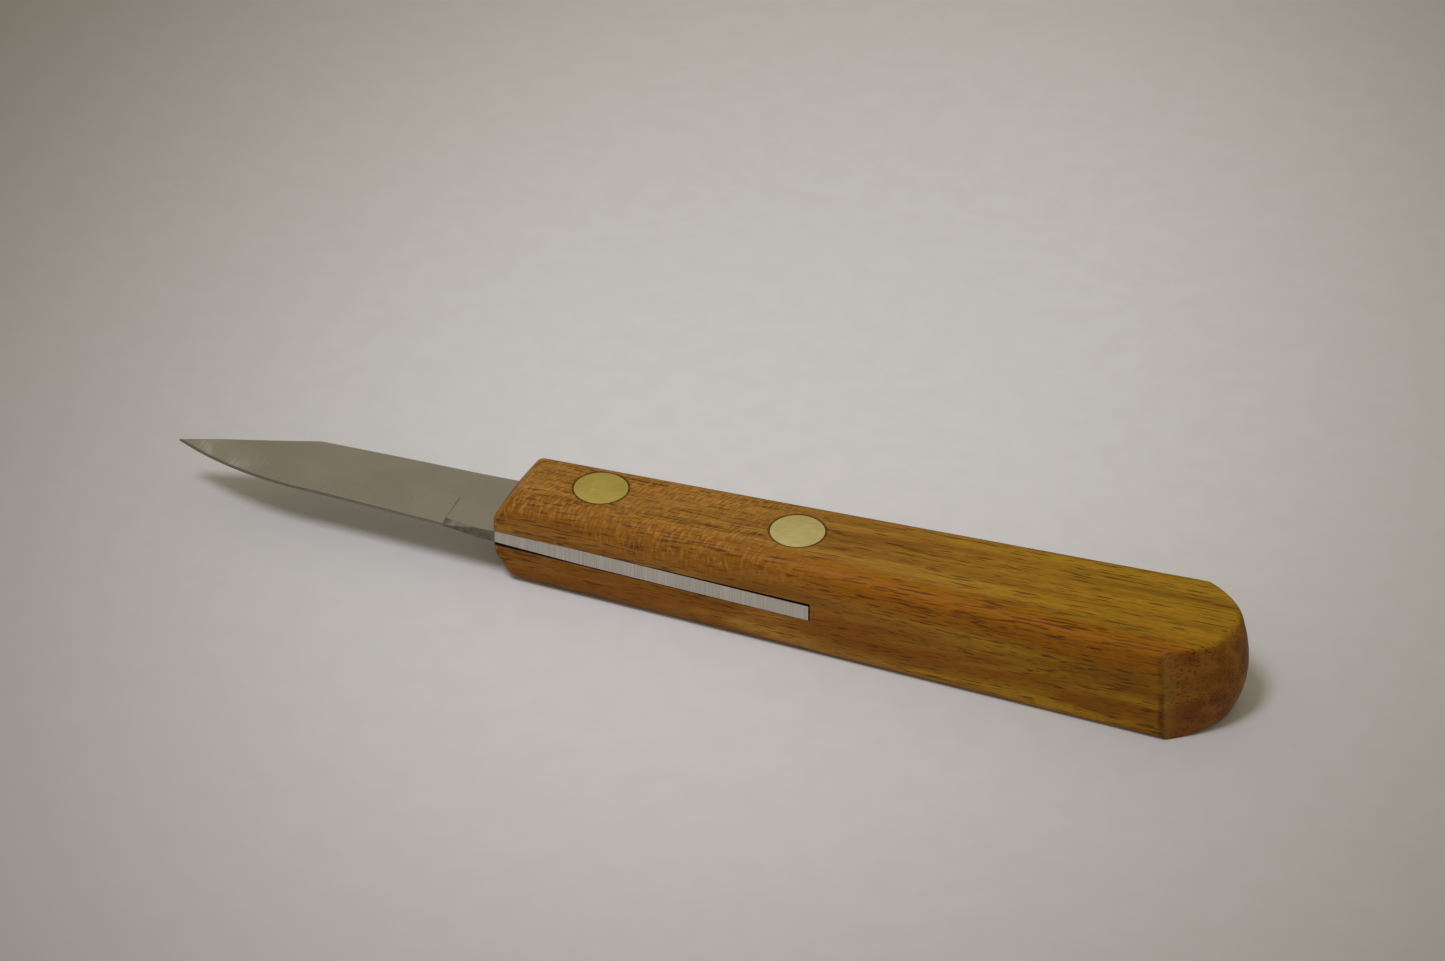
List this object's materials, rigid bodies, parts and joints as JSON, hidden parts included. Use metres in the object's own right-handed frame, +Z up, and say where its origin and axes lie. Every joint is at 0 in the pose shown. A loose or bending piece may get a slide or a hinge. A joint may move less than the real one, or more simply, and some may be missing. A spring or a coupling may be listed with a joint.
{
  "type": "bench knife",
  "caption": "Small fixed-blade bench knife with a clip-point steel blade, its half tang set in a slotted one-piece hardwood handle and held by flush brass rivets.",
  "frame": {"origin": "centre of the bounding box in X and Y, on the plane of the handle's lower flat face", "axes": "+X along the knife from the tip to the butt, +Y from the cutting edge to the spine, +Z up through the handle's thickness; the knife lies on its side"},
  "size_m": [0.1653, 0.0194, 0.015],
  "materials": {
    "blade_steel": "satin, finely ground",
    "handle_wood": "satin lacquer",
    "rivet_brass": "sanded flush, satin"
  },
  "bodies": {
    "root": {"blade": "blade_steel", "handle": "handle_wood", "front_rivet_socket": "rivet_brass", "front_rivet_post": "rivet_brass", "rear_rivet_socket": "rivet_brass", "rear_rivet_post": "rivet_brass"}
  },
  "joints": []
}
